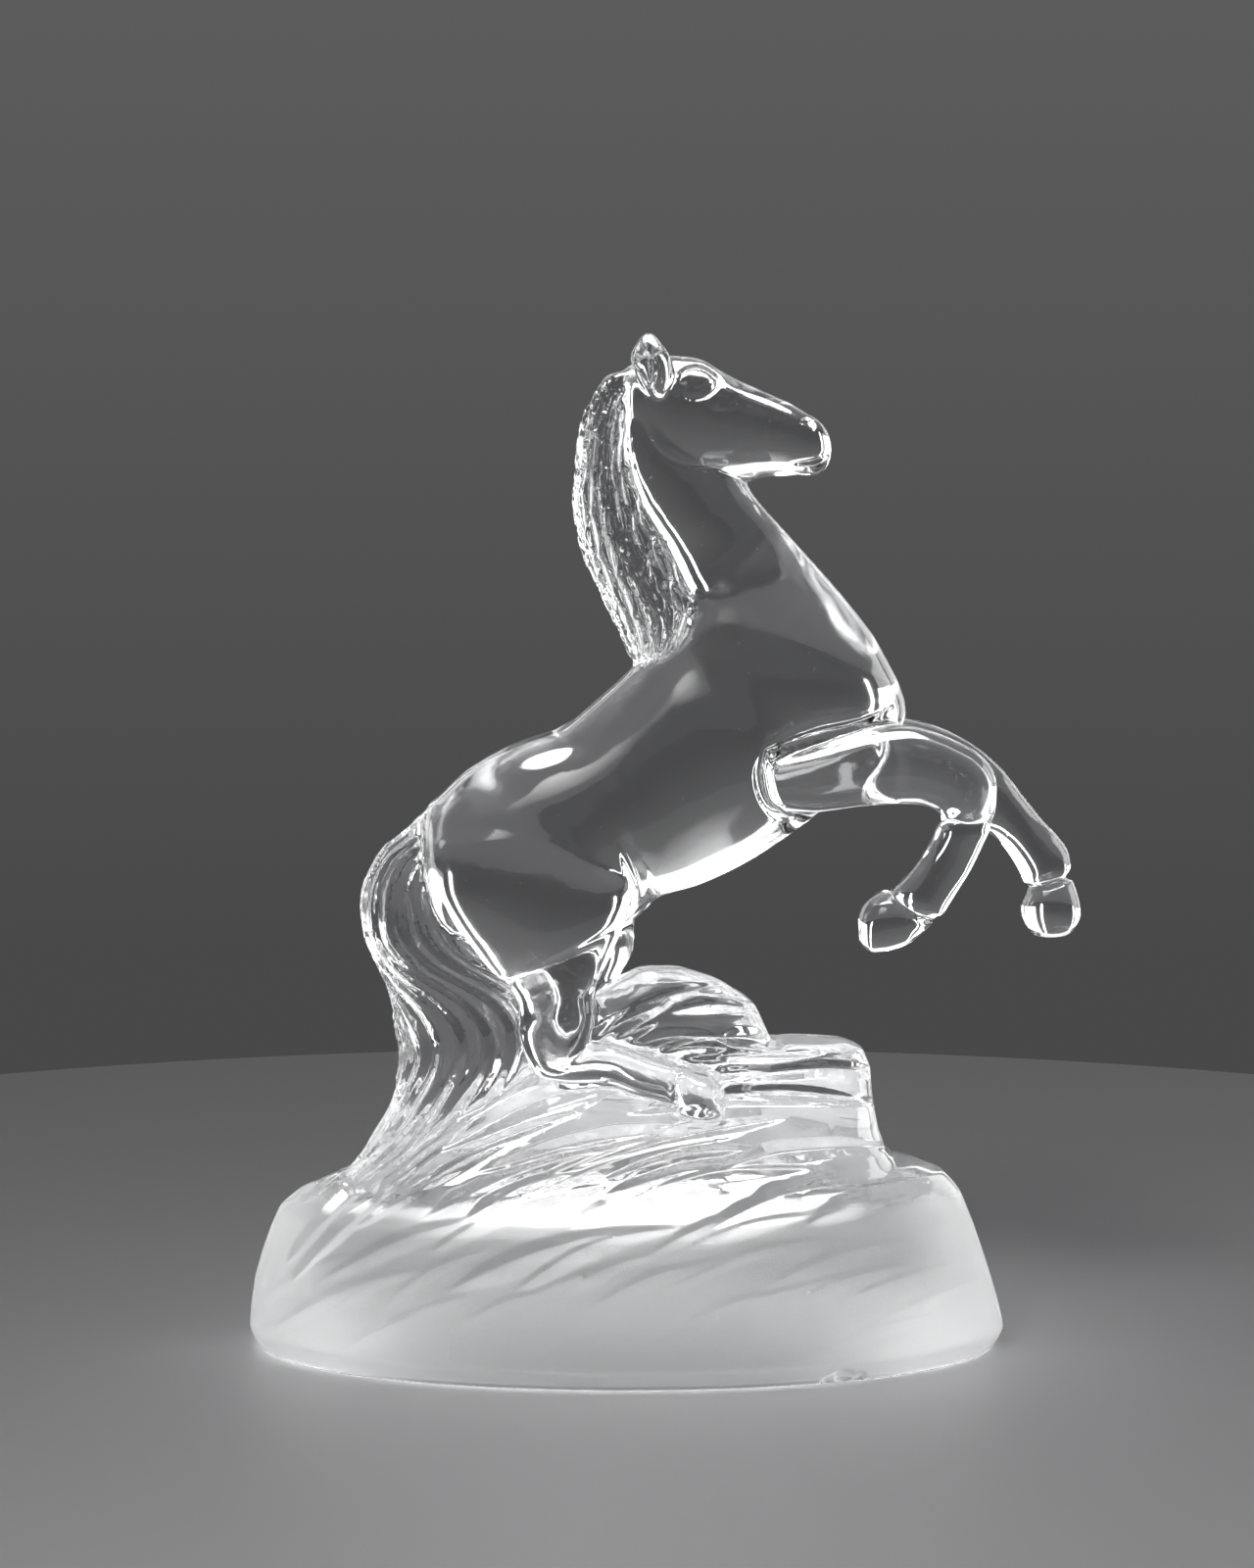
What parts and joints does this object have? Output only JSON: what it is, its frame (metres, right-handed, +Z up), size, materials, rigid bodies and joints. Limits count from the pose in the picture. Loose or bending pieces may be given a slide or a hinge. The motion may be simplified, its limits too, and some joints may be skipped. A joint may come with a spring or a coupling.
{
  "type": "crystal horse figurine",
  "caption": "Clear pressed-crystal figurine of a rearing horse on a grassy rock, with a frosted oval base that stands on its flat underside.",
  "frame": {"origin": "middle of the flat underside of the base", "axes": "+X the way the horse faces, +Y across the base towards the horse's left side, +Z up"},
  "size_m": [0.165, 0.0828, 0.2],
  "materials": {
    "crystal": "clear polished crystal, the outside of the base satin frosted"
  },
  "bodies": {
    "root": {"crystal_horse": "crystal"}
  },
  "joints": []
}
